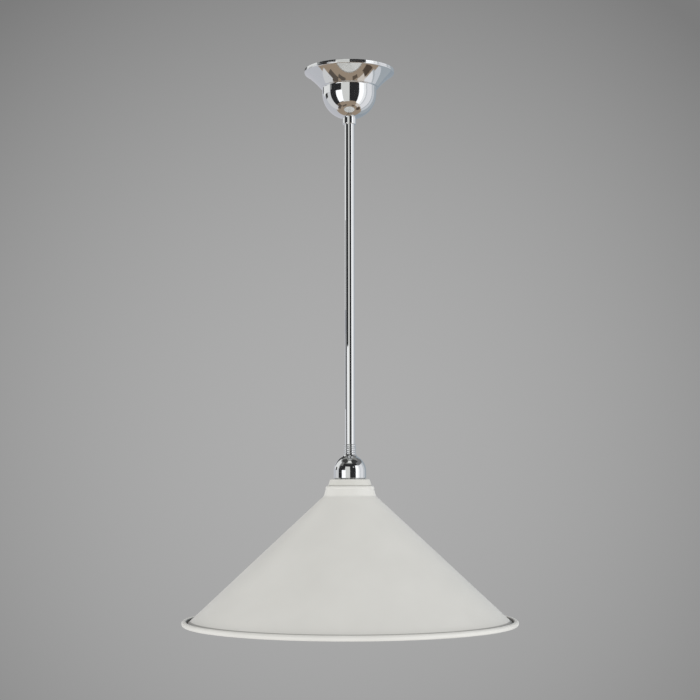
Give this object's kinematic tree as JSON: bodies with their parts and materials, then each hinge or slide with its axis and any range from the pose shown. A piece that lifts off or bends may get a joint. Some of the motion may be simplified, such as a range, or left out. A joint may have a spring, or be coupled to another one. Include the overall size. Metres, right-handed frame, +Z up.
{
  "type": "rod pendant light",
  "caption": "Ceiling pendant light: polished cup canopy, slim rigid rod, domed lampholder and a wide metal cone shade with a stepped neck and rolled rim.",
  "frame": {"origin": "centre of the ceiling plane, midway between the two bracket screw slots, where the canopy rim and the strap's ends meet the ceiling", "axes": "+Z up, against the hang of the rod; +X along the ceiling strap, towards the connector block; -Y is the side the picture shows"},
  "size_m": [0.4, 0.4, 0.6721],
  "materials": {
    "chrome_plate": "polished plate",
    "zinc_steel": "zinc plated",
    "shade_paint": "off-white satin powder coat",
    "porcelain": "glazed",
    "brass": "bright",
    "connector_plastic": "moulded",
    "brown_insulation": "extruded",
    "blue_insulation": "extruded",
    "green_insulation": "extruded",
    "opal_glass": "opal, frosted inside",
    "lamp_metal": "bright plated",
    "cap_glass": "fused black glass"
  },
  "bodies": {
    "ceiling_mount": {"ceiling_bracket": "zinc_steel", "bracket_tube": "zinc_steel", "bracket_nuts": "zinc_steel", "swivel_fork": "zinc_steel"},
    "cross": {"swivel_cross": "zinc_steel"},
    "stem": {"rod_head": "zinc_steel", "rod_head_pin": "zinc_steel", "connector_block": "connector_plastic", "connector_inserts": "brass", "connector_screws": "zinc_steel", "connector_fixing_screws": "zinc_steel", "live_lead": "brown_insulation", "earth_lead": "green_insulation", "neutral_lead": "blue_insulation", "rod": "chrome_plate", "rod_coupler": "chrome_plate", "holder_tube": "zinc_steel", "holder_nut": "zinc_steel", "holder_dome": "chrome_plate", "holder_insulator": "porcelain", "holder_terminals": "brass", "terminal_screws": "zinc_steel", "screw_shell": "brass", "centre_contact": "brass", "holder_skirt": "chrome_plate"},
    "canopy": {"canopy_flare": "chrome_plate", "canopy_bowl": "chrome_plate", "canopy_collar": "chrome_plate", "collar_nut": "zinc_steel"},
    "grub": {"grub_screw": "zinc_steel"},
    "shade_body": {"shade": "shade_paint", "shade_fitter": "shade_paint"},
    "ring": {"shade_ring": "chrome_plate"},
    "lamp": {"lamp_glass": "opal_glass", "lamp_cap": "lamp_metal", "lamp_cap_insulator": "cap_glass", "lamp_contact": "lamp_metal"}
  },
  "joints": [
    {"name": "swing_front", "type": "hinge", "parent": "ceiling_mount", "child": "cross", "pos_m": [0, 0, -0.0225], "axis": [1, 0, 0], "range_deg": [-8, 8]},
    {"name": "swing_side", "type": "hinge", "parent": "cross", "child": "stem", "pos_m": [0, 0, -0.0225], "axis": [0, 1, 0], "range_deg": [-8, 8]},
    {"name": "canopy_slide", "type": "slide", "parent": "stem", "child": "canopy", "axis": [0, 0, -1], "range_m": [0, 0.3]},
    {"name": "grub_unscrew", "type": "slide", "parent": "canopy", "child": "grub", "axis": [0, 1, 0], "range_m": [0, 0.002]},
    {"name": "shade_drop", "type": "slide", "parent": "stem", "child": "shade_body", "axis": [0, 0, -1], "range_m": [0, 0.012]},
    {"name": "ring_turn", "type": "hinge", "parent": "shade_body", "child": "ring", "pos_m": [0, 0, -0.5033], "axis": [0, 0, -1], "range_deg": [0, 1728]},
    {"name": "lamp_unscrew", "type": "slide", "parent": "stem", "child": "lamp", "axis": [0, 0, -1], "range_m": [0, 0.026]}
  ],
  "couplings": [
    {"joint": "ring_turn", "follows": "shade_drop", "rad_per_m": 2513.3}
  ]
}
